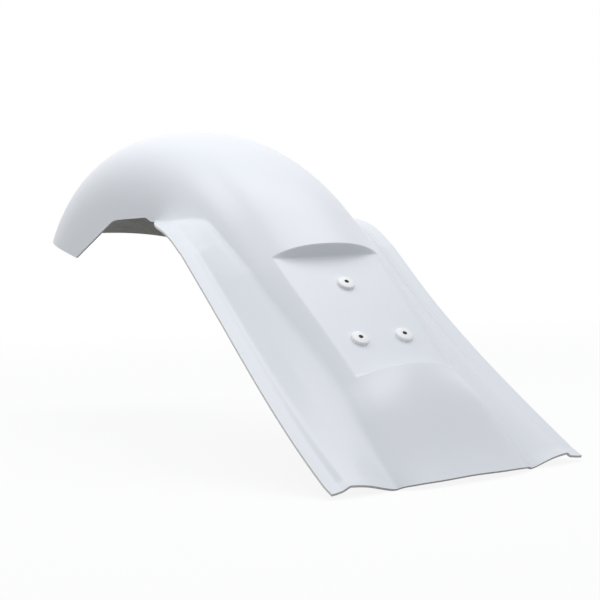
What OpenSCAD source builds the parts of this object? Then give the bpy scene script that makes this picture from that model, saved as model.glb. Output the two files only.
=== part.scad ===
// Stretched motorcycle rear fender, one moulded laminate shell with three bonded inserts.
// The tail is drawn in its own flat frame and then tilted: "run" is the distance down the tail from
// the foot of the crescent step, and "rise" is the height above the flat recessed panel.

/* [Shell] */
// Thickness of the laminate
wall = 2.5; // [2:0.5:4]
// Half width of the body over its flat sides
body_half = 105; // [98:1:112]
// Slope of the tail below level, degrees
tail_slope = 40; // [36:1:44]
// Length of the tail from the crescent step to the trimmed edge
tail_len = 342; // [320:1:380]

/* [Wheel arch] */
// Radius of the arch at the top of the crown
arch_radius = 482; // [465:1:500]
// How far the crown tucks in towards the wheel at the front end
front_tuck = 16; // [8:1:24]
// Length of straight crown between the arch and the crescent step
arch_lead = 61; // [52:1:70]
// Height of the flat skirt edge above the foot of the crescent step
skirt_height = 52; // [46:1:56]
// Distance of the skirt's lower front corner ahead of the crescent step
front_corner_ahead = 478; // [466:1:490]
// Height of the skirt's lower front corner above the foot of the crescent step
front_corner_height = 5; // [0:1:10]
// Angle at which the front end is cut, from level
front_cut_angle = 12.5; // [10:0.5:16]
// Angle at which the skirt edge runs down to the front, from level
skirt_ramp_angle = 19.6; // [17:0.2:22]

/* [Crown] */
// Depth of the rounded crown over the arch, down to the flat sides
crown_depth = 93; // [86:1:100]
// Squareness of the crown over the arch, 2 is an ellipse
crown_square = 2.4; // [2:0.1:2.8]
// Height of the crown above the recessed panel at the crescent step
crescent_height = 16; // [12:0.5:18]
// Height of the crown above the recessed panel at the lower ridge
ridge_height = 14.5; // [10:0.5:16]
// Height of the crown above the recessed panel's plane at the trimmed edge
trim_height = 1; // [0:0.5:4]

/* [Recessed panel] */
// Length of the flat panel, from the crescent step to the ridge
panel_len = 198; // [185:1:210]
// Length over which each step falls or rises
step_len = 5; // [4:0.5:7]

/* [Wings] */
// Front of each wing, in degrees of the arch ahead of the straight crown
wing_start_angle = 22; // [20:0.5:24]
// Degrees of the arch over which each wing flares out to its full width
wing_flare_angle = 13.5; // [12:0.5:16]
// Half width over the wings where they leave the arch
wing_half_front = 144; // [138:1:150]
// Half width over the wings at the trimmed edge
wing_half_rear = 157; // [150:1:164]
// Depth of the wing's outer edge below the recessed panel
wing_drop = 42; // [38:1:46]
// Depth of the wing's outer edge at the trimmed edge
wing_drop_rear = 12; // [9:1:16]
// Width of the flat outer flange
flange_width = 13; // [10:1:16]
// Height of the step between the flange and the wing at the trimmed edge
riser_height = 6; // [4:0.5:8]
// Width of that step
riser_width = 7; // [5:0.5:9]

/* [Inserts] */
// Distance of the top insert from the crescent step
insert_top_run = 53; // [48:1:58]
// Distance of the lower pair from the crescent step
insert_pair_run = 142; // [135:1:150]
// Distance between the centres of the lower pair
insert_pair_pitch = 57; // [50:1:64]
// Diameter of the insert's head
head_d = 20; // [18:0.5:24]
// Height of the head above the panel
head_h = 4; // [3:0.5:6]
// Diameter of the neck that passes through the laminate
neck_d = 12; // [10:0.5:14]
// Diameter of the hole in the insert
hole_d = 5; // [4:0.5:6]
// How far the neck stands out of the inner face
neck_past = 3; // [2:0.5:5]

/* [Hidden] */

// Clearance round each insert's neck
neck_fit = 0.15;

// Rise of the line where each wing leaves the body: run, rise
roots = [[0, -21], [panel_len, -13], [tail_len, -15.5]];
// Slope of that line ahead of the crescent step
root_slope = 0.1;
// Half width over that line at the ridge and at the trimmed edge
ridge_root_half = 80;
trim_root_half = 86.5;
// How much shallower than over the arch the crown is at those two places
ridge_shallower = 13;
trim_shallower = 33;
// Half width at which the shoulder starts at the trimmed edge
shoulder_half = 67;
// The wavy trimmed edge: half width, run before the tail's full length
trim = [[0, -4], [40, -4.5], [67, -1], [86, 4.5], [136, 12], [157, 9]];

// How far below the flat skirt line the wing's outer edge and its root start
outer_below = 6;
root_below = 7;
// Rounding where the skirt's edge, the wing's outer edge and its root turn from line to line
skirt_sweep = 1.5;
outer_sweep = 17;
root_sweep = 4;
// Fall of the skirt's edge where it turns out into the wing, and the degrees it takes
skirt_dip = 6;
dip_angle = 3.5;
// Distance from the skirt's edge up to the first wing point, ahead of the wing and at its start
side_band = 14;
start_band = 3;
// Degrees of the arch over which that distance closes
band_angle = 3;
// How many times sooner than the wing's width its root line settles
root_lead = 6;
// Width of a fully flared wing, and how far its top bulges above the straight
wing_full = 35;
wing_bulge = 2;
// Height of the riser as far as the crescent step
riser_front = 1.2;
// Largest share of the wing's fall that the riser takes where the wing is still narrow
riser_share = 0.4;

// Steps along the shell
arch_steps = 22;
lead_steps = 3;
panel_steps = 7;
lower_steps = 6;
// Distance from a step's foot or head to the next station, and of the last one from the trimmed edge
step_clear = 8;
trim_clear = 24;
// Steps across one half: flat top, shoulder, wing
top_steps = 6;
side_steps = 8;
wing_steps = 5;
// How strongly the shoulder's points gather at its top
side_gather = 1.3;
// Points each side of the wing's root that its rounding reaches, and how often they are averaged
root_reach = 2;
root_passes = 3;
// Rounds that find where a section meets an outline
meet_rounds = 5;

function ease(t) = let (u = min(max(t, 0), 1)) u * u * (3 - 2 * u);
function mix(a, b, t) = a + (b - a) * t;
function unit(v) = v / max(norm(v), 0.000001);
// Smaller of two values, with the corner between them rounded by k
function soft_min(a, b, k) = let (low = min(a, b)) low - k * ln(exp(-(a - low) / k) + exp(-(b - low) / k));
// Eased value at run a from column c of a table whose first column is the run
function keyed(keys, a, c, i = 0) =
    a <= keys[0][0] ? keys[0][c] :
    i >= len(keys) - 1 ? keys[len(keys) - 1][c] :
    a <= keys[i + 1][0]
        ? mix(keys[i][c], keys[i + 1][c], ease((a - keys[i][0]) / (keys[i + 1][0] - keys[i][0])))
        : keyed(keys, a, c, i + 1);
// Half width of a superellipse of depth d and squareness q at one depth, as a share of its full one
function swell(depth, d, q) = pow(1 - pow(1 - min(depth / d, 1), q), 1 / q);

// Sections down the tail: run, crown rise, half width at the root, depth, squareness
sections = [
    [0, crescent_height, body_half * swell(crescent_height - roots[0][1], crown_depth, crown_square),
        crown_depth, crown_square],
    [panel_len, ridge_height, ridge_root_half, crown_depth - ridge_shallower, 2],
    [tail_len, trim_height, trim_root_half, crown_depth - trim_shallower, 3.5]
];
function root_rise(a) = keyed(roots, a, 1) + root_slope * min(a, 0);

// The arch's centre in the tail's frame, and on the level
centre_rise = crescent_height - arch_radius;
centre_ahead = arch_lead * cos(tail_slope) - centre_rise * sin(tail_slope);
centre_height = arch_lead * sin(tail_slope) + centre_rise * cos(tail_slope);
// The skirt's lower front corner from that centre, and how far the two cuts through it lie from it
corner = [front_corner_ahead - centre_ahead, front_corner_height - centre_height];
cut_reach = -sin(front_cut_angle) * corner[0] + cos(front_cut_angle) * corner[1];
ramp_reach = sin(skirt_ramp_angle) * corner[0] + cos(skirt_ramp_angle) * corner[1];

// A station is one section of the shell, [share of the arch, run]. Angles are from the tail's normal
// Angle of the front cut at radius r
function end_angle(r) = acos(cut_reach / r) - front_cut_angle + tail_slope;
// Angle at station s of the point at radius r
function angle_at(s, r) = s[0] * end_angle(r);
// Radius of the crown at station s
function crown_radius(s) = arch_radius - front_tuck * pow(s[0], 6);
// Radius at angle t of a level line, h above the foot of the crescent step
function level_radius(h, t) = (h - centre_height) / cos(t - tail_slope);
// Radius at angle t of the skirt's edge, the wing's outer edge and its root
function skirt_radius(t) = soft_min(
    level_radius(skirt_height - skirt_dip * ease((wing_start_angle - t) / dip_angle + 1), t),
    ramp_reach / cos(t - tail_slope - skirt_ramp_angle), skirt_sweep);
function outer_radius(t) = soft_min(
    level_radius(skirt_height - outer_below, t), (-wing_drop - centre_rise) / cos(t), outer_sweep);
function root_radius(t) = soft_min(
    level_radius(skirt_height - root_below, t),
    (root_rise(-arch_lead) - centre_rise) / (cos(t) + root_slope * sin(t)), root_sweep);
// Radius at which station s meets one of those three outlines
function met(s, outline, r = arch_radius - crown_depth, n = meet_rounds) =
    n == 0 ? r : met(s, outline, outline(angle_at(s, r)), n - 1);

// Half width of the whole superellipse at run a
function full_half(a) = a <= 0 ? body_half :
    keyed(sections, a, 2) / swell(keyed(sections, a, 1) - root_rise(a),
        keyed(sections, a, 3), keyed(sections, a, 4));
// Depth below the crown at half width x and run a
function crown_drop(a, x) = let (q = keyed(sections, a, 4))
    keyed(sections, a, 3) * (1 - pow(1 - pow(min(x / full_half(a), 1), q), 1 / q));
// Half width at a depth below the crown and run a
function crown_width(a, depth) = full_half(a) * swell(depth, keyed(sections, a, 3), keyed(sections, a, 4));
// Half width at which the panel or the shoulder starts at run a
function shoulder_x(a) = let (b = min(max(a, 0), panel_len), x = crown_width(b, keyed(sections, b, 1)))
    mix(x, shoulder_half, ease((a - panel_len) / (tail_len - panel_len)));
// Height of the riser at run a, which grows towards the trimmed edge
function riser(a) = mix(riser_front, riser_height, pow(max(a, 0) / tail_len, 2));
// How far station s is sunk to the panel, from 0 to 1
function recess(s) = s[0] > 0 ? 0 :
    ease(s[1] / step_len) * (1 - ease((s[1] - panel_len + step_len) / step_len));

// One half of the section at station s, from the middle outwards, as [half width, depth]
function profile(s) = let (
    arch = s[0] > 0,
    a = s[1],
    crown = crown_radius(s),
    rise = keyed(sections, a, 1),
    panel_x = shoulder_x(a),
    skirt_r = arch ? met(s, function (t) skirt_radius(t)) : 0,
    skirt_d = crown - skirt_r,
    ahead = wing_start_angle - angle_at(s, skirt_r),
    share = arch ? ease(ahead / wing_flare_angle) : 1,
    band = mix(side_band, start_band, ease(ahead / band_angle + 1)),
    root_d = arch
        ? mix(skirt_d - band, crown - met(s, function (t) root_radius(t)), ease(share * root_lead))
        : rise - root_rise(a),
    outer_d = arch
        ? mix(skirt_d, crown - met(s, function (t) outer_radius(t)), share)
        : rise + mix(wing_drop, wing_drop_rear, pow(max(a, 0) / tail_len, 2)),
    root_x = crown_width(a, root_d),
    wing_x = mix(wing_half_front, wing_half_rear, ease(max(a, 0) / tail_len)),
    outer_x = mix(root_x, wing_x, share),
    shoulder_d = crown_drop(a, panel_x),
    step = arch ? min(riser(a), riser_share * max(outer_d - root_d, 0)) : riser(a),
    sunk = recess(s)
) rounded(concat(
    [for (i = [0:top_steps]) let (x = panel_x * i / top_steps, d = crown_drop(a, x))
        [x, mix(d, max(d, rise), sunk)]],
    [for (i = [1:side_steps]) let (d = mix(shoulder_d, root_d, pow(i / side_steps, side_gather)))
        [crown_width(a, d), mix(d, max(d, rise), sunk)]],
    wing_profile(root_x, root_d, outer_x, outer_d, step)
), top_steps + side_steps, root_passes);

// The section p with its corner at point c rounded, by averaging the points near it n times
function rounded(p, c, n) = n == 0 ? p : rounded(
    [for (i = [0:len(p) - 1]) abs(i - c) <= root_reach ? (p[i - 1] + 2 * p[i] + p[i + 1]) / 4 : p[i]],
    c, n - 1);

// The wing from its root to its edge: gently arched top, riser and flat flange. Ahead of the
// wing's start the same points lie evenly on the flat side
function wing_profile(x0, d0, x1, d1, step) = let (
    share = min((x1 - x0) / wing_full, 1),
    bulge = wing_bulge * min(step / riser_front, 1),
    foot = [x1 - flange_width * share, d1],
    head = [foot[0] - riser_width * share, d1 - step],
    points = concat(
        [for (i = [1:wing_steps - 1]) let (t = i / wing_steps)
            [mix(x0, head[0], t), mix(d0, head[1], t) - bulge * sin(180 * t)]],
        [head, foot, [(foot[0] + x1) / 2, d1], [x1, d1]])
) [for (i = [0:len(points) - 1])
    [points[i][0], mix(mix(d0, d1, (i + 1) / len(points)), points[i][1], min(3 * share, 1))]];

// Stations from the front cut to the trimmed edge
stations = concat(
    [for (i = [arch_steps:-1:1]) [i / arch_steps, -arch_lead]],
    [for (i = [0:lead_steps - 1]) [0, mix(-arch_lead, -step_clear, i / (lead_steps - 1))]],
    [for (a = [0, step_len / 2, step_len]) [0, a]],
    [for (i = [0:panel_steps])
        [0, mix(step_len + step_clear, panel_len - step_len - step_clear, i / panel_steps)]],
    [for (a = [step_len, step_len / 2, 0]) [0, panel_len - a]],
    [for (i = [0:lower_steps]) [0, mix(panel_len + step_clear, tail_len - trim_clear, i / lower_steps)]],
    [[0, tail_len]]
);
last = len(stations) - 1;

// Point at station s with half width x and depth below the crown, as [x, run, rise]
function at(s, x, depth) = let (r = crown_radius(s) - depth, t = angle_at(s, r))
    s[0] > 0 ? [x, -arch_lead - r * sin(t), centre_rise + r * cos(t)] :
    [x, s[1] - (s[1] == tail_len ? lookup(x, trim) : 0), keyed(sections, s[1], 1) - depth];
// Outer points of the whole section k, from the left edge to the right one
function ring(k) = let (half = [for (p = profile(stations[k])) at(stations[k], p[0], p[1])])
    concat([for (i = [len(half) - 1:-1:1]) [-half[i][0], half[i][1], half[i][2]]], half);

outer = [for (k = [0:last]) ring(k)];
across = len(outer[0]);
// Direction into the laminate at section k, point i
function inward(k, i) = unit(cross(
    outer[min(k + 1, last)][i] - outer[max(k - 1, 0)][i],
    outer[k][min(i + 1, across - 1)] - outer[k][max(i - 1, 0)]));
inner = [for (k = [0:last]) [for (i = [0:across - 1]) outer[k][i] + inward(k, i) * wall]];

// Tilts the tail's frame onto the level one, with the origin at the top insert's hole
function tilt(p) = let (a = p[1] - insert_top_run, b = p[2] - head_h)
    [p[0], -a * cos(tail_slope) - b * sin(tail_slope), -a * sin(tail_slope) + b * cos(tail_slope)];

// Number of the point on skin side j, 0 outer and 1 inner, at section k, point i
function nr(j, k, i) = (j * (last + 1) + k) * across + i;
// Two triangles over four corners, split from the first to the third, or else from the second
function quad(a, b, c, d, first = true) = first ? [[a, b, c], [a, c, d]] : [[b, c, d], [b, d, a]];

// Both skins split alike on the left and the right, so that the shell mirrors across its middle
module skin() {
    points = [for (side = [outer, inner], row = side, p = row) tilt(p)];
    faces = concat(
        [for (k = [0:last - 1], i = [0:across - 2]) each
            quad(nr(0, k, i), nr(0, k, i + 1), nr(0, k + 1, i + 1), nr(0, k + 1, i), 2 * i < across - 1)],
        [for (k = [0:last - 1], i = [0:across - 2]) each
            quad(nr(1, k, i), nr(1, k + 1, i), nr(1, k + 1, i + 1), nr(1, k, i + 1), 2 * i < across - 1)],
        [for (i = [0:across - 2]) each quad(nr(0, 0, i), nr(1, 0, i), nr(1, 0, i + 1), nr(0, 0, i + 1))],
        [for (i = [0:across - 2]) each
            quad(nr(0, last, i), nr(0, last, i + 1), nr(1, last, i + 1), nr(1, last, i))],
        [for (k = [0:last - 1]) each quad(nr(0, k, 0), nr(0, k + 1, 0), nr(1, k + 1, 0), nr(1, k, 0))],
        [for (k = [0:last - 1], i = across - 1) each
            quad(nr(0, k, i), nr(1, k, i), nr(1, k + 1, i), nr(0, k + 1, i))]
    );
    polyhedron(points, faces, convexity = 6);
}

// Places a child on the recessed panel with its +Z along the panel's outward normal
module on_panel(x, run) {
    translate(tilt([x, run, 0])) rotate([tail_slope, 0, 0]) children();
}

insert_places = [[0, insert_top_run], [-insert_pair_pitch / 2, insert_pair_run],
    [insert_pair_pitch / 2, insert_pair_run]];

module fender_shell() {
    color("whitesmoke")
    difference() {
        skin();
        for (p = insert_places) on_panel(p[0], p[1])
            translate([0, 0, -3 * wall]) cylinder(d = neck_d + 2 * neck_fit, h = 6 * wall, $fn = 48);
    }
}

module insert(p) {
    color("white")
    on_panel(p[0], p[1]) difference() {
        union() {
            cylinder(d = head_d, h = head_h, $fn = 64);
            translate([0, 0, -wall - neck_past]) cylinder(d = neck_d, h = wall + neck_past + 1, $fn = 48);
        }
        translate([0, 0, -wall - neck_past - 1])
            cylinder(d = hole_d, h = wall + neck_past + head_h + 2, $fn = 32);
    }
}

fender_shell();
insert(insert_places[0]);  // insert_top
insert(insert_places[1]);  // insert_left
insert(insert_places[2]);  // insert_right
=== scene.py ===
"""Looks of a stretched motorcycle rear fender: one moulded laminate shell with three inserts.

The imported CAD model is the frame. The shell is drawn again with a finer skin on the same
driving dimensions, so that the gelcoat side, the raw laminate inside and the trimmed edge
can each have their own finish. The three inserts get rounded rims and a cut thread.
"""

import logging
import math
from collections.abc import Callable
from dataclasses import dataclass, field
from enum import Enum
from typing import ClassVar

import bmesh
import bpy
from bmesh.types import BMesh
from bpy.types import Material, Node, Object
from bpy.types import NodeSocket as Socket
from bpy.types import NodeTree as Tree
from mathutils import Matrix, Vector


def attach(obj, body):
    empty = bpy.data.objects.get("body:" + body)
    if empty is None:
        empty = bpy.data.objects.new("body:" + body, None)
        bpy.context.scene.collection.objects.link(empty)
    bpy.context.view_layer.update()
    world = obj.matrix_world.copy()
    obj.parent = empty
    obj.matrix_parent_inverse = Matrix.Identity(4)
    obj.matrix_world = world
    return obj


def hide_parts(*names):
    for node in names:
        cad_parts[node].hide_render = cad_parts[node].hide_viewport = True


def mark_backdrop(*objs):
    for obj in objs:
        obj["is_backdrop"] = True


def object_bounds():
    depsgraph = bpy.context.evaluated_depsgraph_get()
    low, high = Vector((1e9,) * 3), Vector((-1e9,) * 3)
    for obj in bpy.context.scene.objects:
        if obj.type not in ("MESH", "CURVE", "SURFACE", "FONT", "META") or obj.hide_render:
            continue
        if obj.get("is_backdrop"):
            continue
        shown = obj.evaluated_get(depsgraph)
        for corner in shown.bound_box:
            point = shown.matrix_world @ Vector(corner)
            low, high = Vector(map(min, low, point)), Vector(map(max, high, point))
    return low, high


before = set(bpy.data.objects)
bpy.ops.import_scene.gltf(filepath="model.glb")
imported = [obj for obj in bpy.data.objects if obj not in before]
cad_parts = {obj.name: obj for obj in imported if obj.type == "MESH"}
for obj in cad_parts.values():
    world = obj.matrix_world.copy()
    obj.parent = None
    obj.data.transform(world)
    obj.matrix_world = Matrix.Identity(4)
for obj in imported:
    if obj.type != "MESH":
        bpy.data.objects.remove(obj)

log = logging.getLogger("fender")

MM = 0.001
# How far the studio's floor lies below the part's lowest point
FLOOR_GAP = 0.5 * MM

Triple = tuple[float, float, float]
# Fixed pairs: place and value, or half width and run
Pairs = tuple[tuple[float, float], ...]
# Points of a drawn line: half width and depth, or radius and height
Outline = list[tuple[float, float]]


# Small sums that the shapes share


def ease(t: float) -> float:
    """Smooth step from 0 to 1."""
    u = min(max(t, 0.0), 1.0)
    return u * u * (3 - 2 * u)


def mix(a: float, b: float, t: float) -> float:
    """Straight blend from a to b."""
    return a + (b - a) * t


def soft_min(a: float, b: float, k: float) -> float:
    """Smaller of two values, with the corner between them rounded.

    Args:
        a: First value.
        b: Second value.
        k: How far the rounding reaches, in the values' own unit.

    Returns:
        A value at or just under the smaller one.
    """
    low = min(a, b)
    return low - k * math.log(math.exp(-(a - low) / k) + math.exp(-(b - low) / k))


def keyed(keys: Pairs, at: float) -> float:
    """Eased value between keys.

    Args:
        keys: Pairs of place and value, in rising order of place.
        at: The place asked for.

    Returns:
        The value there, held flat past both ends.
    """
    if at <= keys[0][0]:
        return keys[0][1]
    for (a0, v0), (a1, v1) in zip(keys, keys[1:]):
        if at <= a1:
            return mix(v0, v1, ease((at - a0) / (a1 - a0)))
    return keys[-1][1]


def curved(keys: Pairs, at: float) -> float:
    """Value on a smooth curve through keys, with no flat spot at each key.

    Args:
        keys: Pairs of place and value, in rising order of place.
        at: The place asked for.

    Returns:
        The value there, held flat past both ends.
    """
    if at <= keys[0][0]:
        return keys[0][1]
    if at >= keys[-1][0]:
        return keys[-1][1]
    last = len(keys) - 1
    i = next(n for n in range(last) if at <= keys[n + 1][0])
    (a0, v0), (a1, v1) = keys[i], keys[i + 1]

    def slope(n: int) -> float:
        """Slope of the curve at key n."""
        lo, hi = keys[max(n - 1, 0)], keys[min(n + 1, last)]
        return 0.0 if n in (0, last) else (hi[1] - lo[1]) / (hi[0] - lo[0])

    w = a1 - a0
    t = (at - a0) / w
    return (
        (2 * t**3 - 3 * t**2 + 1) * v0
        + (t**3 - 2 * t**2 + t) * w * slope(i)
        + (3 * t**2 - 2 * t**3) * v1
        + (t**3 - t**2) * w * slope(i + 1)
    )


def even(first: float, last: float, faces: int) -> list[float]:
    """Evenly spaced values from first to last, one more than there are faces."""
    return [mix(first, last, i / faces) for i in range(faces + 1)]


def swell(depth: float, full: float, square: float) -> float:
    """Half width of a superellipse crown at a depth, as a share of its full half width."""
    return (1 - (1 - min(depth / full, 1)) ** square) ** (1 / square)


# Finishes


def linear(hex_colour: str) -> tuple[float, float, float, float]:
    """Turns an sRGB hex colour into the linear one that a shader socket takes."""
    channels = [int(hex_colour[i : i + 2], 16) / 255 for i in (1, 3, 5)]
    return (
        *(c / 12.92 if c <= 0.04045 else ((c + 0.055) / 1.055) ** 2.4 for c in channels),
        1.0,
    )


def add_node(
    tree: Tree, kind: str, settings: dict | None = None, links: dict | None = None
) -> Node:
    """Adds one node with its settings and its incoming links.

    Args:
        tree: The node tree.
        kind: The node's type name.
        settings: Values by socket name or number, or by property name.
        links: Output sockets by the name or number of the input they go to.

    Returns:
        The new node.
    """
    node = tree.nodes.new(kind)
    for key, value in (settings or {}).items():
        if isinstance(key, str) and hasattr(node, key):
            setattr(node, key, value)
        else:
            node.inputs[key].default_value = value
    for key, output in (links or {}).items():
        tree.links.new(output, node.inputs[key])
    return node


def new_tree(name: str) -> tuple[Material, Tree]:
    """Makes an empty material.

    Args:
        name: The finish's name.

    Returns:
        The material and its node tree.
    """
    material = bpy.data.materials.new(name)
    material.use_nodes = True
    material.node_tree.nodes.clear()
    return material, material.node_tree


def noise(
    tree: Tree, place: Socket, feature_mm: float, detail: float, settings: dict | None = None
) -> Socket:
    """Adds a noise pattern.

    Args:
        tree: The node tree.
        place: Coordinates, in metres.
        feature_mm: How far apart its features are, in millimetres.
        detail: How many finer layers it has.
        settings: Any other settings of the node.

    Returns:
        The noise's value.
    """
    scaled = {"Scale": 1 / (feature_mm * MM), "Detail": detail, **(settings or {})}
    return add_node(tree, "ShaderNodeTexNoise", scaled, {"Vector": place}).outputs["Fac"]


def bump(tree: Tree, height: Socket, height_mm: float, under: Socket | None = None) -> Socket:
    """Adds a bump.

    Args:
        tree: The node tree.
        height: Pattern of its height, from 0 to 1.
        height_mm: Its full height, in millimetres.
        under: Normal of the bump that it lies on.

    Returns:
        The bumped normal.
    """
    links = {"Height": height} | ({"Normal": under} if under else {})
    settings = {"Strength": 1.0, "Distance": height_mm * MM}
    return add_node(tree, "ShaderNodeBump", settings, links).outputs["Normal"]


def blend(tree: Tree, first: str, second: str, share: Socket) -> Socket:
    """Adds a mix of two hex colours, by the share of the second."""
    settings = {"data_type": "RGBA", 6: linear(first), 7: linear(second)}
    return add_node(tree, "ShaderNodeMix", settings, {0: share}).outputs[2]


def combined(tree: Tree, operation: str, first: Socket, second: Socket) -> Socket:
    """Adds an operation on two values, by its name."""
    links = {0: first, 1: second}
    return add_node(tree, "ShaderNodeMath", {"operation": operation}, links).outputs[0]


def ranged(tree: Tree, value: Socket, settings: dict) -> Socket:
    """Adds a change of a value's range."""
    return add_node(tree, "ShaderNodeMapRange", settings, {"Value": value}).outputs[0]


def mixed(tree: Tree, share: Socket, first: Node, second: Node) -> Socket:
    """Adds a mix of two shaders, by the share of the second."""
    links = {0: share, 1: first.outputs[0], 2: second.outputs[0]}
    return add_node(tree, "ShaderNodeMixShader", {}, links).outputs[0]


@dataclass(frozen=True)
class Finish:
    """Base of the finishes: one principled shader fed by patterns in object coordinates."""

    name: ClassVar[str]

    def inputs(self, tree: Tree, place: Socket) -> tuple[dict, dict]:
        """Settings and links of the shader.

        Args:
            tree: The node tree.
            place: Object coordinates.

        Returns:
            Values, and output sockets, by the shader's sockets.
        """
        raise NotImplementedError

    def material(self) -> Material:
        """Builds the finish's material.

        Returns:
            The material.
        """
        made, tree = new_tree(self.name)
        place = add_node(tree, "ShaderNodeTexCoord").outputs["Object"]
        shader = add_node(tree, "ShaderNodeBsdfPrincipled", *self.inputs(tree, place))
        add_node(tree, "ShaderNodeOutputMaterial", {}, {"Surface": shader.outputs[0]})
        return made


@dataclass(frozen=True)
class Gelcoat(Finish):
    """Polyester gelcoat straight from a waxed mould: pale, satin, with a faint ripple."""

    name: ClassVar[str] = "gelcoat_polyester"
    colour: str = "#E8EBF0"
    deep_colour: str = "#E3E7ED"
    cloud_mm: float = 160.0
    roughness: float = 0.34
    ior: float = 1.5
    # Wavelength of the print-through that the mat leaves in the skin, and its height
    ripple_mm: float = 22.0
    ripple_height_mm: float = 0.05
    # Peel of the sprayed gelcoat, drawn about twice its real size so that it shows
    peel_mm: float = 2.6
    peel_height_mm: float = 0.012

    def inputs(self, tree: Tree, place: Socket) -> tuple[dict, dict]:
        """Settings and links of the shader.

        Args:
            tree: The node tree.
            place: Object coordinates.

        Returns:
            Values, and output sockets, by the shader's sockets.
        """
        cloud = noise(tree, place, self.cloud_mm, 3.0)
        wave = bump(tree, noise(tree, place, self.ripple_mm, 1.0), self.ripple_height_mm)
        peel = noise(tree, place, self.peel_mm, 2.0)
        return {"Roughness": self.roughness, "IOR": self.ior}, {
            "Base Color": blend(tree, self.colour, self.deep_colour, cloud),
            "Normal": bump(tree, peel, self.peel_height_mm, wave),
        }


@dataclass(frozen=True)
class RawLaminate(Finish):
    """Chopped strand mat wetted with resin: pale warm grey, uneven, with strands that show."""

    name: ClassVar[str] = "laminate_strand_mat"
    resin: str = "#C4C4BE"
    strand: str = "#DBDBD4"
    # Strand bundles in the mat, drawn wider than the real 0.5 mm so that they show
    strand_mm: float = 4.4
    # How many times longer than wide a bundle is
    stretch: float = 14.0
    # Turns of the four layers of strands about X, Y and Z, in radians
    lays: tuple[Triple, ...] = (
        (0.2, 0.12, 0.3),
        (0.9, 0.44, 1.1),
        (-0.5, 0.76, 1.9),
        (0.6, 1.08, 2.7),
    )
    # Range of the noise that shows as a bundle
    bundle_range: tuple[float, float] = (0.52, 0.68)
    lump_mm: float = 28.0
    relief_mm: float = 0.35
    # How far the bundles bend, and the strands' height as a share of the lumps'
    bend: float = 0.4
    strand_share: float = 0.5
    # Roughness, and the range of the lumps' noise over which it grows
    roughness: tuple[float, float] = (0.42, 0.68)
    gloss_range: tuple[float, float] = (0.3, 0.7)
    ior: float = 1.52

    def layer(self, tree: Tree, place: Socket, lay: Triple) -> Socket:
        """Adds one layer of strands.

        Args:
            tree: The node tree.
            place: Object coordinates.
            lay: The layer's turns about X, Y and Z.

        Returns:
            A value that is 1 on the bundles.
        """
        laid = add_node(
            tree,
            "ShaderNodeMapping",
            {"Rotation": lay, "Scale": (1 / self.stretch, 1, 1)},
            {"Vector": place},
        ).outputs[0]
        bundle = noise(tree, laid, self.strand_mm, 1.0, {"Distortion": self.bend})
        low, high = self.bundle_range
        settings = {"From Min": low, "From Max": high, "interpolation_type": "SMOOTHSTEP"}
        return ranged(tree, bundle, settings)

    def inputs(self, tree: Tree, place: Socket) -> tuple[dict, dict]:
        """Settings and links of the shader.

        Args:
            tree: The node tree.
            place: Object coordinates.

        Returns:
            Values, and output sockets, by the shader's sockets.
        """
        strands, *others = [self.layer(tree, place, lay) for lay in self.lays]
        for other in others:
            strands = combined(tree, "MAXIMUM", strands, other)
        lumps = noise(tree, place, self.lump_mm, 3.0)
        height = add_node(
            tree,
            "ShaderNodeMath",
            {"operation": "MULTIPLY_ADD", 1: self.strand_share},
            {0: strands, 2: lumps},
        ).outputs[0]
        (start, end), (low, high) = self.gloss_range, self.roughness
        gloss = {"From Min": start, "From Max": end, "To Min": low, "To Max": high}
        shade = combined(tree, "MULTIPLY", strands, lumps)
        return {"IOR": self.ior}, {
            "Base Color": blend(tree, self.resin, self.strand, shade),
            "Roughness": ranged(tree, lumps, gloss),
            "Normal": bump(tree, height, self.relief_mm),
        }


@dataclass(frozen=True)
class TrimmedEdge(Finish):
    """Laminate cut and sanded across its layers: chalky white with darker glass flecks."""

    name: ClassVar[str] = "laminate_trimmed_edge"
    chalk: str = "#F4F4F2"
    glass: str = "#DEDDD9"
    fleck_mm: float = 1.6
    relief_mm: float = 0.15
    roughness: float = 0.78
    # How strongly the flecks' finer layers show
    fleck_rough: float = 0.7
    ior: float = 1.5

    def inputs(self, tree: Tree, place: Socket) -> tuple[dict, dict]:
        """Settings and links of the shader.

        Args:
            tree: The node tree.
            place: Object coordinates.

        Returns:
            Values, and output sockets, by the shader's sockets.
        """
        fleck = noise(tree, place, self.fleck_mm, 2.0, {"Roughness": self.fleck_rough})
        return {"Roughness": self.roughness, "IOR": self.ior}, {
            "Base Color": blend(tree, self.chalk, self.glass, fleck),
            "Normal": bump(tree, fleck, self.relief_mm),
        }


@dataclass(frozen=True)
class InsertPlastic(Finish):
    """Moulded white acetal: bright and slightly waxy, with a fine grain."""

    name: ClassVar[str] = "insert_acetal"
    colour: str = "#F6F7F8"
    roughness: float = 0.28
    ior: float = 1.48
    grain_mm: float = 0.9
    grain_height_mm: float = 0.01
    # How much light the plastic lets in, and how far, in millimetres
    waxy: float = 0.15
    waxy_mm: float = 0.8

    def inputs(self, tree: Tree, place: Socket) -> tuple[dict, dict]:
        """Settings and links of the shader.

        Args:
            tree: The node tree.
            place: Object coordinates.

        Returns:
            Values, and output sockets, by the shader's sockets.
        """
        grain = noise(tree, place, self.grain_mm, 1.0)
        settings = {
            "Base Color": linear(self.colour),
            "Roughness": self.roughness,
            "IOR": self.ior,
            "Subsurface Weight": self.waxy,
            "Subsurface Radius": (1.0, 1.0, 1.0),
            "Subsurface Scale": self.waxy_mm * MM,
        }
        return settings, {"Normal": bump(tree, grain, self.grain_height_mm)}


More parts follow.
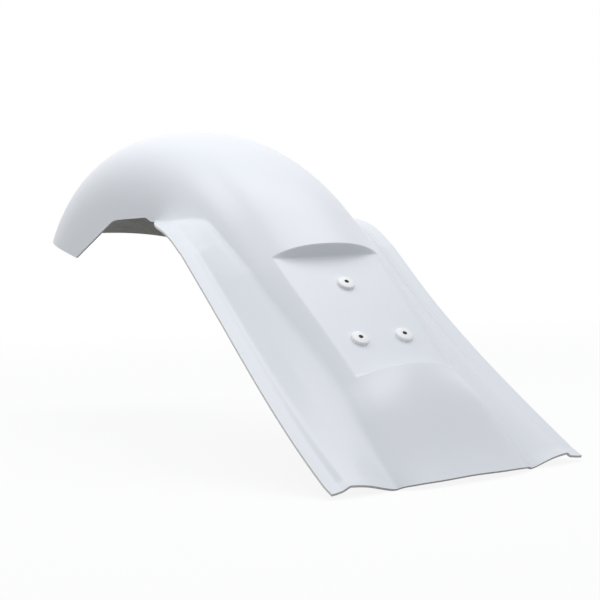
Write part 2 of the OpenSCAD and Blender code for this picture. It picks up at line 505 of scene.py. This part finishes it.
@dataclass(frozen=True)
class ShadedThreadSteel(Finish):
    """Zinc-plated steel thread, dull from the tapping oil left in it, with its colour darkened as
    painted shade for the inside of the hole.
    """

    name: ClassVar[str] = "thread_steel_painted_shade"
    # Painted shade: darker than bare zinc plating, so that the threaded hole reads as shaded
    colour: str = "#6C6F72"
    stain_mm: float = 1.5
    roughness: tuple[float, float] = (0.35, 0.6)

    def inputs(self, tree: Tree, place: Socket) -> tuple[dict, dict]:
        """Settings and links of the shader.

        Args:
            tree: The node tree.
            place: Object coordinates.

        Returns:
            Values, and output sockets, by the shader's sockets.
        """
        low, high = self.roughness
        stain = noise(tree, place, self.stain_mm, 2.0)
        dull = ranged(tree, stain, {"To Min": low, "To Max": high})
        return {"Base Color": linear(self.colour), "Metallic": 1.0}, {"Roughness": dull}


class Side(Enum):
    """The three faces of the laminate, in the order of the shell's material slots."""

    GELCOAT = 0
    INSIDE = 1
    EDGE = 2


# The tail's own flat frame, in millimetres


@dataclass
class TailFrame:
    """Turns a place on the tail into the model's frame.

    A place is [half width, run down the tail from the crescent step, rise above the flat panel].
    """

    slope: float = 40.0
    origin_run: float = 53.0
    origin_rise: float = 4.0

    def place(self, x: float, run: float, rise: float) -> Vector:
        """Place in the model's frame.

        Args:
            x: Half width, negative on the left.
            run: Run down the tail from the crescent step.
            rise: Rise above the flat panel.

        Returns:
            The place, in metres.
        """
        a, b = run - self.origin_run, rise - self.origin_rise
        c, s = math.cos(math.radians(self.slope)), math.sin(math.radians(self.slope))
        return Vector((x, -a * c - b * s, -a * s + b * c)) * MM

    def matrix(self, x: float, run: float) -> Matrix:
        """Matrix that stands a millimetre mesh on the panel, with its +Z outwards."""
        turn = Matrix.Rotation(math.radians(self.slope), 4, "X")
        return Matrix.Translation(self.place(x, run, 0)) @ turn @ Matrix.Scale(MM, 4)


@dataclass
class Station:
    """One section of the shell: a share of the arch, or a run down the tail."""

    share: float
    run: float


@dataclass
class FenderShell:
    """The moulded shell: wheel arch, stretched tail, recessed panel and two flared wings."""

    tail: TailFrame
    insert_places: Pairs

    wall: float = 2.5
    body_half: float = 105.0
    tail_len: float = 342.0

    arch_radius: float = 482.0
    # How far the crown tucks in at the front cut, and how late along the arch it does so
    front_tuck: float = 16.0
    tuck_power: int = 6
    arch_lead: float = 61.0
    skirt_height: float = 52.0
    skirt_dip: float = 6.0
    dip_angle: float = 3.5
    corner_ahead: float = 478.0
    corner_height: float = 5.0
    cut_angle: float = 12.5
    ramp_angle: float = 19.6

    crown_depth: float = 93.0
    crown_square: float = 2.4
    crescent_height: float = 16.0
    ridge_height: float = 14.5
    trim_height: float = 1.0
    panel_len: float = 198.0
    step_len: float = 5.0
    # How softly the panel's sides meet the flanks
    panel_crease: float = 0.6
    shoulder_half: float = 67.0

    wing_start_angle: float = 22.0
    wing_flare_angle: float = 13.5
    wing_half_front: float = 144.0
    wing_half_rear: float = 157.0
    wing_drop: float = 42.0
    wing_drop_rear: float = 12.0
    # Width at which a wing's flange is full, and how many times sooner the wing has its form
    wing_full: float = 35.0
    wing_lead: float = 3.0
    wing_bulge: float = 2.0
    flange_width: float = 13.0
    riser_height: float = 5.0
    riser_front: float = 1.2
    # Largest share of the wing's fall that the riser takes where the wing is still narrow
    riser_share: float = 0.4
    riser_width: float = 9.0

    # How far below the flat skirt line a wing's outer edge and its root start
    outer_below: float = 6.0
    root_below: float = 7.0
    # Rounding where the skirt's edge, the wing's outer edge and its root turn from line to line
    skirt_sweep: float = 1.5
    outer_sweep: float = 17.0
    root_sweep: float = 4.0
    # Distance from the skirt's edge up to the root, ahead of the wing and at its start, and the
    # degrees of the arch over which it closes
    side_band: float = 14.0
    start_band: float = 3.0
    band_angle: float = 3.0
    # How many times sooner than the wing's width its root line settles
    root_lead: float = 6.0
    root_slope: float = 0.1
    # Rise of the root line at the crescent step, the ridge and the trimmed edge, and the body's
    # half width there at the last two
    root_rises: Triple = (-21.0, -13.0, -15.5)
    ridge_root_half: float = 80.0
    trim_root_half: float = 86.5
    # How much shallower than over the arch the crown is at those two
    ridge_shallower: float = 13.0
    trim_shallower: float = 33.0
    # Squareness of the crown at the ridge, at a run past it, and at the trimmed edge
    ridge_square: float = 2.0
    lower_square: float = 3.6
    lower_run: float = 60.0
    trim_square: float = 3.5
    # The wavy trimmed edge, as half width and run before the tail's full length, and how far up
    # the tail it bends the sections
    trim: Pairs = ((0, -4), (40, -4.3), (67, -1), (86, 4.5), (136, 12), (157, 9))
    trim_reach: float = 24.0

    # Faces across one half: flat top, side, wing, riser and flange
    top_faces: int = 14
    side_faces: int = 26
    wing_faces: int = 14
    riser_faces: int = 6
    flange_faces: int = 4
    # How strongly the side's points gather at its top
    side_gather: float = 1.3
    # Faces along the shell: arch, straight crown, each step, panel, lower part and its end
    arch_faces: int = 110
    lead_faces: int = 13
    step_faces: int = 8
    panel_faces: int = 42
    lower_faces: int = 28
    end_faces: int = 6
    # Sections before and after the crescent step and the ridge's own step, by their distance
    # from the step's nearer end
    crescent_before: tuple[float, ...] = (-4.0, -2.0, -1.0, -0.4)
    crescent_after: tuple[float, ...] = (0.8, 2.0, 4.0, 7.0)
    ridge_before: tuple[float, ...] = (-5.0, -2.5, -1.0)
    ridge_after: tuple[float, ...] = (0.6, 1.8, 4.0, 8.0)
    # How far inside the crown the search for an outline starts, and the rounds it takes
    meet_start: float = 80.0
    meet_rounds: int = 8
    # Points each side of a wing's root that its fillet reaches, how often they are evened out up
    # to the crescent step and far down the tail, and the run over which that grows
    fillet_reach: int = 7
    fillet_passes: tuple[int, int] = (4, 22)
    fillet_length: float = 220.0
    # Radius of the holes in the panel, and, as shares of it, how far out points are removed and
    # how far out they are drawn onto the rim
    hole_radius: float = 6.15
    hole_clear: float = 1.02
    hole_reach: float = 2.2
    # Rounding of the cut edges, its faces, and the angle in degrees past which an edge gets it
    edge_round: float = 0.5
    edge_faces: int = 2
    edge_angle: float = 60.0

    # Worked out from the sizes above, as pairs of run and value
    roots: Pairs = field(init=False)
    root_halves: Pairs = field(init=False)
    crowns: Pairs = field(init=False)
    depths: Pairs = field(init=False)
    squares: Pairs = field(init=False)
    # Rise of the arch's centre in the tail's frame, its height in the model's, and how far it is
    # from the lines of the front cut and of the skirt's ramp
    centre_rise: float = field(init=False)
    centre_height: float = field(init=False)
    cut_reach: float = field(init=False)
    ramp_reach: float = field(init=False)

    def __post_init__(self) -> None:
        """Works out the tail's keys and the arch's centre from the sizes."""
        panel, end = self.panel_len, self.tail_len

        def along(*values: float) -> Pairs:
            """Values at the crescent step, the ridge and the trimmed edge."""
            return tuple(zip((0.0, panel, end), values))

        full = self.crown_depth
        arch_root = self.crescent_height - self.root_rises[0]
        first = self.body_half * swell(arch_root, full, self.crown_square)
        self.roots = along(*self.root_rises)
        self.root_halves = along(first, self.ridge_root_half, self.trim_root_half)
        self.crowns = along(self.crescent_height, self.ridge_height, self.trim_height)
        self.depths = along(full, full - self.ridge_shallower, full - self.trim_shallower)
        self.squares = (
            (0, self.crown_square),
            (panel, self.ridge_square),
            (panel + self.lower_run, self.lower_square),
            (end, self.trim_square),
        )
        slope = math.radians(self.tail.slope)
        lead, self.centre_rise = self.arch_lead, self.crescent_height - self.arch_radius
        self.centre_height = lead * math.sin(slope) + self.centre_rise * math.cos(slope)
        ahead = self.corner_ahead - (lead * math.cos(slope) - self.centre_rise * math.sin(slope))
        up = self.corner_height - self.centre_height
        cut, ramp = math.radians(self.cut_angle), math.radians(self.ramp_angle)
        self.cut_reach = -math.sin(cut) * ahead + math.cos(cut) * up
        self.ramp_reach = math.sin(ramp) * ahead + math.cos(ramp) * up

    # Outlines, as radii round the wheel arch's centre at an angle in degrees from the tail's normal

    def end_angle(self, radius: float) -> float:
        """Angle at which the front cut meets a radius."""
        return math.degrees(math.acos(self.cut_reach / radius)) - self.cut_angle + self.tail.slope

    def level_radius(self, below: float, turn: float) -> float:
        """Radius at which a level line this far below the flat skirt line is met."""
        height = self.skirt_height - below - self.centre_height
        return height / math.cos(math.radians(turn - self.tail.slope))

    def skirt_radius(self, turn: float) -> float:
        """Radius of the skirt's lower edge.

        Args:
            turn: Angle in degrees from the tail's normal.

        Returns:
            The radius.
        """
        dip = self.skirt_dip * ease((self.wing_start_angle - turn) / self.dip_angle + 1)
        ramp = math.cos(math.radians(turn - self.tail.slope - self.ramp_angle))
        return soft_min(self.level_radius(dip, turn), self.ramp_reach / ramp, self.skirt_sweep)

    def outer_radius(self, turn: float) -> float:
        """Radius of a wing's outer edge."""
        tail_line = (-self.wing_drop - self.centre_rise) / math.cos(math.radians(turn))
        return soft_min(self.level_radius(self.outer_below, turn), tail_line, self.outer_sweep)

    def root_radius(self, turn: float) -> float:
        """Radius of the line where a wing leaves the body.

        Args:
            turn: Angle in degrees from the tail's normal.

        Returns:
            The radius.
        """
        angle = math.radians(turn)
        tail_line = (self.root_rise(-self.arch_lead) - self.centre_rise) / (
            math.cos(angle) + self.root_slope * math.sin(angle)
        )
        return soft_min(self.level_radius(self.root_below, turn), tail_line, self.root_sweep)

    def root_rise(self, run: float) -> float:
        """Rise of a wing's root line at a run."""
        return keyed(self.roots, run) + self.root_slope * min(run, 0)

    # Sections

    def crown_radius(self, s: Station) -> float:
        """Radius of the crown, which tucks in towards the front end."""
        return self.arch_radius - self.front_tuck * s.share**self.tuck_power

    def met(self, s: Station, outline: Callable[[float], float]) -> float:
        """Radius at which this section meets one of the outlines above.

        Args:
            s: The section.
            outline: Radius of the outline at an angle.

        Returns:
            The radius.
        """
        radius = self.arch_radius - self.meet_start
        for _ in range(self.meet_rounds):
            radius = outline(s.share * self.end_angle(radius))
        return radius

    def full_half(self, run: float) -> float:
        """Half width of the whole crown at a run.

        Args:
            run: Run down the tail.

        Returns:
            The half width that the crown would reach at its full depth.
        """
        if run <= 0:
            return self.body_half
        depth = keyed(self.crowns, run) - self.root_rise(run)
        share = swell(depth, keyed(self.depths, run), keyed(self.squares, run))
        return keyed(self.root_halves, run) / share

    def crown_drop(self, run: float, x: float) -> float:
        """Depth of the crown below its top at a half width."""
        square, share = keyed(self.squares, run), min(x / self.full_half(run), 1)
        return keyed(self.depths, run) * (1 - (1 - share**square) ** (1 / square))

    def crown_width(self, run: float, depth: float) -> float:
        """Half width of the crown at a depth below its top."""
        return self.full_half(run) * swell(depth, keyed(self.depths, run), keyed(self.squares, run))

    def shoulder_x(self, run: float) -> float:
        """Half width at which the flat panel or the shoulder starts.

        Args:
            run: Run down the tail.

        Returns:
            The half width.
        """
        near = min(max(run, 0), self.panel_len)
        x = self.crown_width(near, keyed(self.crowns, near))
        past = (run - self.panel_len) / (self.tail_len - self.panel_len)
        return mix(x, self.shoulder_half, ease(past))

    def riser(self, run: float) -> float:
        """Height of the riser at a run, which grows towards the trimmed edge."""
        return mix(self.riser_front, self.riser_height, (max(run, 0) / self.tail_len) ** 2)

    def recess(self, s: Station) -> float:
        """How far a section is sunk to the panel.

        Args:
            s: The section.

        Returns:
            A share from 0 to 1.
        """
        if s.share > 0:
            return 0.0
        past_ridge = (s.run - self.panel_len + self.step_len) / self.step_len
        return ease(s.run / self.step_len) * (1 - ease(past_ridge))

    def section(self, s: Station) -> Outline:
        """One half of a section.

        Args:
            s: The section.

        Returns:
            Half width and depth of its points, from the middle outwards.
        """
        rise = keyed(self.crowns, s.run)
        wing, root, edge, step = self.wing_lines(s)
        root_x = self.crown_width(s.run, root)
        far = ease(max(s.run, 0) / self.tail_len)
        edge_x = mix(root_x, mix(self.wing_half_front, self.wing_half_rear, far), wing)
        panel_x = self.shoulder_x(s.run)
        shoulder = self.crown_drop(s.run, panel_x)
        sunk = self.recess(s)

        def sink(depth: float) -> float:
            """Depth after the panel is sunk into the crown."""
            return mix(depth, -soft_min(-depth, -rise, self.panel_crease), sunk)

        points = []
        for i in range(self.top_faces + 1):
            x = panel_x * i / self.top_faces
            points.append((x, sink(self.crown_drop(s.run, x))))
        for i in range(1, self.side_faces + 1):
            depth = mix(shoulder, root, (i / self.side_faces) ** self.side_gather)
            points.append((self.crown_width(s.run, depth), sink(depth)))
        points += self.wing_section(root_x, root, edge_x, edge, step)
        passes = round(mix(*self.fillet_passes, ease(s.run / self.fillet_length)))
        return self.filleted(points, self.top_faces + self.side_faces, passes)

    def wing_lines(self, s: Station) -> tuple[float, float, float, float]:
        """Where a wing lies on a section.

        Args:
            s: The section.

        Returns:
            How much of the wing there is, from 0 to 1, the depths of its root and its outer
            edge, and the height of its riser.
        """
        if s.share == 0:
            rise = keyed(self.crowns, s.run)
            fall = (max(s.run, 0) / self.tail_len) ** 2
            edge = rise + mix(self.wing_drop, self.wing_drop_rear, fall)
            return 1.0, rise - self.root_rise(s.run), edge, self.riser(s.run)
        crown = self.crown_radius(s)
        skirt = self.met(s, self.skirt_radius)
        ahead = self.wing_start_angle - s.share * self.end_angle(skirt)
        wing = ease(ahead / self.wing_flare_angle)
        band = mix(self.side_band, self.start_band, ease(ahead / self.band_angle + 1))
        settled = ease(wing * self.root_lead)
        root = mix(crown - skirt - band, crown - self.met(s, self.root_radius), settled)
        edge = mix(crown - skirt, crown - self.met(s, self.outer_radius), wing)
        step = min(self.riser(0), self.riser_share * max(edge - root, 0))
        return wing, root, edge, step

    def wing_section(self, x0: float, d0: float, x1: float, d1: float, step: float) -> Outline:
        """The wing from its root to its edge.

        Args:
            x0: Half width of the root.
            d0: Depth of the root.
            x1: Half width of the outer edge.
            d1: Depth of the outer edge.
            step: Height of the riser between the wing's top and its flange.

        Returns:
            Pairs of half width and depth, with the root left out.
        """
        share = min((x1 - x0) / self.wing_full, 1)
        foot_x = x1 - self.flange_width * share
        head_x = foot_x - self.riser_width * share
        bulge = self.wing_bulge * min(step / self.riser_front, 1)
        shape = []
        for t in even(0, 1, self.wing_faces)[1:]:
            top = mix(d0, d1 - step, t) - bulge * math.sin(math.pi * t)
            shape.append((mix(x0, head_x, t), top))
        for t in even(0, 1, self.riser_faces)[1:]:
            shape.append((mix(head_x, foot_x, t), mix(d1 - step, d1, ease(t))))
        for t in even(0, 1, self.flange_faces)[1:]:
            shape.append((mix(foot_x, x1, t), d1))
        laid = min(self.wing_lead * share, 1)
        straight = even(d0, d1, len(shape))[1:]
        return [(x, mix(line, d, laid)) for (x, d), line in zip(shape, straight)]

    def filleted(self, points: Outline, corner: int, passes: int) -> Outline:
        """Rounds the section's corner at the wing's root.

        Args:
            points: The section.
            corner: Number of the point at the root.
            passes: How often the points near it are evened out, which sets how wide the fillet is.

        Returns:
            The section with the points near the root evened out.
        """
        for _ in range(passes):
            before = list(points)
            for i in range(corner - self.fillet_reach, corner + self.fillet_reach + 1):
                (xa, da), (xb, db), (xc, dc) = before[i - 1 : i + 2]
                points[i] = ((xa + 2 * xb + xc) / 4, (da + 2 * db + dc) / 4)
        return points

    def stations(self) -> list[Station]:
        """Sections of the whole shell, closer together at the steps.

        Returns:
            The sections from the front cut to the trimmed edge.
        """
        panel, end, step = self.panel_len, self.tail_len, self.step_len
        foot = panel - step
        runs = even(-self.arch_lead, self.crescent_before[0], self.lead_faces)[:-1]
        runs += [*self.crescent_before, *even(0, step, self.step_faces)]
        runs += [step + away for away in self.crescent_after[:-1]]
        runs += even(step + self.crescent_after[-1], foot + self.ridge_before[0], self.panel_faces)
        runs += [foot + away for away in self.ridge_before[1:]]
        runs += even(foot, panel, self.step_faces)
        runs += [panel + away for away in self.ridge_after[:-1]]
        runs += even(panel + self.ridge_after[-1], end - self.trim_reach, self.lower_faces)
        runs += even(end - self.trim_reach, end, self.end_faces)[1:]
        front = range(self.arch_faces, 0, -1)
        arch = [Station(i / self.arch_faces, -self.arch_lead) for i in front]
        return arch + [Station(0.0, run) for run in runs]

    def point(self, s: Station, x: float, depth: float) -> Vector:
        """Place of a section's point in the model's frame.

        Args:
            s: The section.
            x: Half width, negative on the left.
            depth: Depth below the crown.

        Returns:
            The place, in metres.
        """
        half = abs(x)
        if s.share > 0:
            radius = self.crown_radius(s) - depth
            turn = math.radians(s.share * self.end_angle(radius))
            run = -self.arch_lead - radius * math.sin(turn)
            return self.tail.place(x, run, self.centre_rise + radius * math.cos(turn))
        near_end = max(s.run - self.tail_len + self.trim_reach, 0) / self.trim_reach
        run = s.run - near_end * curved(self.trim, half)
        return self.tail.place(x, run, keyed(self.crowns, s.run) - depth)

    def skin(self) -> BMesh:
        """Gelcoat side of the shell, as one grid moved onto the sections.

        Returns:
            The open skin, with its faces outwards.
        """
        stations = self.stations()
        halves = [self.section(s) for s in stations]
        columns, rows = len(halves[0]) - 1, len(stations) - 1
        bm = bmesh.new()
        bmesh.ops.create_grid(bm, x_segments=2 * columns, y_segments=rows, size=1.0)
        for v in bm.verts:
            # The grid runs from -1 to 1 both ways
            column, row = round(v.co.x * columns), round((v.co.y + 1) / 2 * rows)
            half, depth = halves[row][abs(column)]
            v.co = self.point(stations[row], math.copysign(half, column), depth)
        bm.normal_update()
        top = max(bm.faces, key=lambda f: f.calc_center_median().z)
        if top.normal.z < 0:
            bmesh.ops.reverse_faces(bm, faces=bm.faces)
        return bm

    def cut_holes(self, bm: BMesh) -> None:
        """Opens the panel where each insert's neck passes through it.

        Args:
            bm: The gelcoat side.
        """
        for x, run in self.insert_places:
            middle = self.tail.place(x, run, 0)
            radius = self.hole_radius * MM
            near = [v for v in bm.verts if (v.co - middle).length < radius * self.hole_clear]
            ring = {
                e.other_vert(v) for v in near for e in v.link_edges if e.other_vert(v) not in near
            }
            bmesh.ops.delete(bm, geom=near, context="VERTS")
            reach = radius * self.hole_reach
            rim = {v for v in bm.verts if v.is_boundary and (v.co - middle).length < reach}
            for v in rim | {v for v in ring if v.is_valid and v.is_boundary}:
                away = v.co - middle
                v.co = middle + away * (radius / away.length)

    def build(self, finishes: dict[Side, Material]) -> Object:
        """Builds the shell and gives each side its finish.

        Args:
            finishes: Material of each side of the laminate.

        Returns:
            The shell, which replaces the CAD node.
        """
        bm = self.skin()
        self.cut_holes(bm)
        for face in bm.faces:
            face.smooth = True
            face.material_index = Side.GELCOAT.value
        shell = object_from(bm, "fender_shell_skin")
        for side in Side:
            shell.data.materials.append(finishes[side])
        laminate = shell.modifiers.new("laminate", "SOLIDIFY")
        laminate.thickness = self.wall * MM
        laminate.offset = -1.0
        laminate.use_even_offset = False
        laminate.material_offset = Side.INSIDE.value
        laminate.material_offset_rim = Side.EDGE.value
        broken = shell.modifiers.new("broken_edges", "BEVEL")
        broken.width = self.edge_round * MM
        broken.segments = self.edge_faces
        broken.limit_method = "ANGLE"
        broken.angle_limit = math.radians(self.edge_angle)
        broken.harden_normals = True
        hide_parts("fender_shell")
        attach(shell, "root")
        return shell


@dataclass
class InsertBoss:
    """A white insert: domed head on the panel, neck through the laminate, threaded hole."""

    tail: TailFrame
    head_d: float = 20.0
    head_h: float = 4.0
    rim_round: float = 1.3
    rim_faces: int = 6
    # Fall of the dome at the rim, and of a point part way out, as a share of the head's radius
    dome: float = 0.5
    dome_share: float = 0.6
    dome_fall: float = 0.12
    # Chamfer at the head's foot, inwards and up
    foot_chamfer: tuple[float, float] = (0.15, 0.3)
    neck_d: float = 12.0
    neck_below: float = 5.5
    neck_chamfer: float = 0.5
    hole_d: float = 5.0
    # How far past the hole's radius its mouth, the flat round the mouth and its lower end reach
    mouth_lip: float = 0.2
    mouth_land: float = 1.6
    neck_lip: float = 0.3
    thread_pitch: float = 1.0
    thread_depth: float = 0.5
    # Width of the thread's crests, and its distance from both ends of the hole
    crest_width: float = 0.15
    thread_inset: float = 0.3
    steps: int = 64
    # Points closer than this are joined, and edges past this angle in degrees stay sharp
    weld: float = 0.001
    sharp_angle: float = 40.0

    def outline(self) -> Outline:
        """Turned outline outside the thread.

        Returns:
            Radius and height of its points, from the hole's mouth to the neck's end.
        """
        head, neck, hole = self.head_d / 2, self.neck_d / 2, self.hole_d / 2
        top, bottom, r = self.head_h, -self.neck_below, self.rim_round
        points = [
            (hole + self.mouth_lip, top),
            (hole + self.mouth_land, top),
            (head * self.dome_share, top - self.dome_fall),
        ]
        for i in range(self.rim_faces + 1):
            a = math.radians(90 * i / self.rim_faces)
            points.append((head - r + r * math.sin(a), top - self.dome - r + r * math.cos(a)))
        inwards, up = self.foot_chamfer
        return points + [
            (head, up),
            (head - inwards, 0.0),
            (neck, 0.0),
            (neck, bottom + self.neck_chamfer),
            (neck - self.neck_chamfer, bottom),
            (hole + self.neck_lip, bottom),
        ]

    def thread(self) -> Outline:
        """Crests and roots of the thread.

        Returns:
            Radius and height of its points, from the neck's end to the mouth.
        """
        crest, root = self.hole_d / 2, self.hole_d / 2 + self.thread_depth
        points = []
        height = self.thread_inset - self.neck_below
        while height < self.head_h - self.thread_pitch:
            points += [
                (crest, height),
                (crest, height + self.crest_width),
                (root, height + self.thread_pitch / 2),
            ]
            height += self.thread_pitch
        return points + [(crest, self.head_h - self.thread_inset)]

    def turned(self, bm: BMesh, points: Outline, slot: int) -> None:
        """Turns an open outline round the insert's axis.

        Args:
            bm: Mesh that takes the new faces.
            points: Radius and height of each point.
            slot: Material slot of the new faces.
        """
        turns = [2 * math.pi * i / self.steps for i in range(self.steps)]
        rings = [
            [bm.verts.new((r * math.cos(a), r * math.sin(a), z)) for a in turns] for r, z in points
        ]
        for near, far in zip(rings, rings[1:]):
            for i in range(self.steps):
                face = bm.faces.new((near[i - 1], near[i], far[i], far[i - 1]))
                face.material_index = slot

    def build(
        self, node: str, place: tuple[float, float], body: Material, steel: Material
    ) -> Object:
        """Builds one insert on the panel.

        Args:
            node: The CAD node that it replaces.
            place: Half width and run of its middle.
            body: The insert's plastic.
            steel: The thread's metal, drawn dark as painted shade inside the hole.

        Returns:
            The insert.
        """
        bm = bmesh.new()
        outline, thread = self.outline(), self.thread()
        self.turned(bm, outline, 0)
        self.turned(bm, [outline[-1], *thread, outline[0]], 1)
        bmesh.ops.remove_doubles(bm, verts=bm.verts, dist=self.weld)
        bmesh.ops.recalc_face_normals(bm, faces=bm.faces)
        bmesh.ops.transform(bm, matrix=self.tail.matrix(*place), verts=bm.verts)
        for face in bm.faces:
            face.smooth = True
        piece = object_from(bm, node + "_turned")
        piece.data.set_sharp_from_angle(angle=math.radians(self.sharp_angle))
        for material in (body, steel):
            piece.data.materials.append(material)
        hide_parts(node)
        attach(piece, "root")
        return piece


def object_from(bm: BMesh, name: str) -> Object:
    """Makes an object at the origin from a bmesh.

    Args:
        bm: The bmesh, which is freed.
        name: Name of the object and its mesh.

    Returns:
        The object, linked to the scene.
    """
    mesh = bpy.data.meshes.new(name)
    bm.to_mesh(mesh)
    bm.free()
    made = bpy.data.objects.new(name, mesh)
    bpy.context.scene.collection.objects.link(made)
    return made


# Studio


@dataclass(frozen=True)
class Lamp:
    """A soft square lamp: its place and the point it faces, its side in metres and its power."""

    name: str
    at: Triple
    aim: Triple
    side: float
    watts: float

    def build(self) -> Object:
        """Adds the lamp to the scene.

        Returns:
            The lamp.
        """
        data = bpy.data.lights.new(self.name, "AREA")
        data.size, data.energy = self.side, self.watts
        made = bpy.data.objects.new(self.name, data)
        made.location = self.at
        away = Vector(self.aim) - Vector(self.at)
        made.rotation_euler = away.to_track_quat("-Z", "Y").to_euler()
        bpy.context.scene.collection.objects.link(made)
        return made


@dataclass
class Studio:
    """White floor and surround, soft lamps, and the camera of the reference view."""

    floor_z: float
    floor_radius: float = 12.0
    floor_sides: int = 96
    # Share of plain white that the camera sees in place of the floor's shading, close to the
    # part, and the distances from the part at which it starts to grow and is whole
    white_near: float = 0.88
    white_near_at: float = 0.9
    white_far_at: float = 2.6
    # The floor as the camera sees it, and as it sends light back up at the part
    paper: str = "#F6F6F6"
    bounce: str = "#7C7C7C"
    # The surround as the camera sees it, and the colour and strength of its light on the part
    white: str = "#FFFFFF"
    soft: str = "#F6F8FB"
    surround: float = 0.75
    lamps: tuple[Lamp, ...] = (
        Lamp("overhead", (0.3, 0.12, 1.2), (0.0, 0.2, 0.0), 0.9, 4.6),
        Lamp("over_arch", (-0.4, 0.42, 0.8), (-0.05, 0.25, 0.1), 0.4, 1.2),
        Lamp("left_wall", (-2.2, 0.9, 0.4), (0.0, 0.2, 0.0), 1.1, 3.4),
    )
    # Camera's place and aim, worked out from the panel's corners and the tail's outline
    camera_at: Triple = (-0.8472, -1.32119, 0.04328)
    camera_aim: Triple = (0.0, -0.07174, -0.06541)
    camera_roll: float = 2.18
    sensor: float = 36.0
    lens: float = 84.69
    shift: tuple[float, float] = (-0.14225, 0.0706)

    def seen_directly(self, tree: Tree) -> Socket:
        """Tells what the camera sees from what lights the part.

        Args:
            tree: The node tree.

        Returns:
            A value that is 1 for rays from the camera, a reflection or clear material.
        """
        rays = add_node(tree, "ShaderNodeLightPath").outputs
        either = combined(tree, "MAXIMUM", rays["Is Glossy Ray"], rays["Is Transmission Ray"])
        return combined(tree, "MAXIMUM", rays["Is Camera Ray"], either)

    def floor(self) -> Object:
        """Adds the white floor, which keeps a light shadow under the part.

        Returns:
            The floor.
        """
        bm = bmesh.new()
        bmesh.ops.create_circle(
            bm, cap_ends=True, segments=self.floor_sides, radius=self.floor_radius
        )
        bmesh.ops.translate(bm, vec=(0, 0, self.floor_z), verts=bm.verts)
        made = object_from(bm, "studio_floor")
        material, tree = new_tree("floor_paper")
        direct = self.seen_directly(tree)
        place = add_node(tree, "ShaderNodeTexCoord").outputs["Object"]
        away = add_node(tree, "ShaderNodeVectorMath", {"operation": "LENGTH"}, {0: place})
        near, far = self.white_near_at, self.white_far_at
        grows = {"From Min": near, "From Max": far, "To Min": self.white_near, "To Max": 1.0}
        share = ranged(tree, away.outputs["Value"], grows)
        seen = combined(tree, "MULTIPLY", direct, share)
        tone = blend(tree, self.bounce, self.paper, direct)
        paper = add_node(tree, "ShaderNodeBsdfDiffuse", {}, {"Color": tone})
        plain = {"Color": linear(self.white), "Strength": 1.0}
        white = add_node(tree, "ShaderNodeEmission", plain)
        both = mixed(tree, seen, paper, white)
        add_node(tree, "ShaderNodeOutputMaterial", {}, {"Surface": both})
        made.data.materials.append(material)
        return made

    def world(self) -> None:
        """Sets an even soft surround, which the camera and mirror-like rays see as white."""
        world = bpy.data.worlds.new("studio")
        bpy.context.scene.world = world
        world.use_nodes = True
        tree = world.node_tree
        tree.nodes.clear()
        direct = self.seen_directly(tree)
        dim = {"Color": linear(self.soft), "Strength": self.surround}
        plain = {"Color": linear(self.white), "Strength": 1.0}
        soft, white = (add_node(tree, "ShaderNodeBackground", light) for light in (dim, plain))
        both = mixed(tree, direct, soft, white)
        add_node(tree, "ShaderNodeOutputWorld", {}, {"Surface": both})

    def camera(self) -> None:
        """Adds the camera."""
        data = bpy.data.cameras.new("camera")
        data.sensor_width, data.lens = self.sensor, self.lens
        data.shift_x, data.shift_y = self.shift
        made = bpy.data.objects.new("camera", data)
        at, aim = Vector(self.camera_at), Vector(self.camera_aim)
        look = (aim - at).to_track_quat("-Z", "Y").to_matrix().to_4x4()
        roll = Matrix.Rotation(-math.radians(self.camera_roll), 4, "Z")
        made.matrix_world = Matrix.Translation(at) @ look @ roll
        bpy.context.scene.collection.objects.link(made)
        bpy.context.scene.camera = made

    def build(self) -> None:
        """Sets up the floor, the lamps, the surround and the camera."""
        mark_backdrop(self.floor(), *(lamp.build() for lamp in self.lamps))
        self.world()
        self.camera()
        bpy.context.scene.view_settings.view_transform = "Standard"


def main() -> None:
    logging.basicConfig(level=logging.INFO, format="%(name)s: %(message)s")
    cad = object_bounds()
    tail = TailFrame()
    places = {
        "insert_top": (0.0, 53.0),
        "insert_left": (-28.5, 142.0),
        "insert_right": (28.5, 142.0),
    }
    shell = FenderShell(tail=tail, insert_places=tuple(places.values()))
    made = shell.build(
        {
            Side.GELCOAT: Gelcoat().material(),
            Side.INSIDE: RawLaminate().material(),
            Side.EDGE: TrimmedEdge().material(),
        }
    )
    log.info("shell: %d faces", len(made.data.polygons))
    # The thread's steel carries painted shade for the inside of each hole
    plastic, steel = InsertPlastic().material(), ShadedThreadSteel().material()
    for node, place in places.items():
        piece = InsertBoss(tail=tail).build(node, place, plastic, steel)
        log.info("%s: %d faces", node, len(piece.data.polygons))
    Studio(floor_z=cad[0].z - FLOOR_GAP).build()


if __name__ == "__main__":
    main()
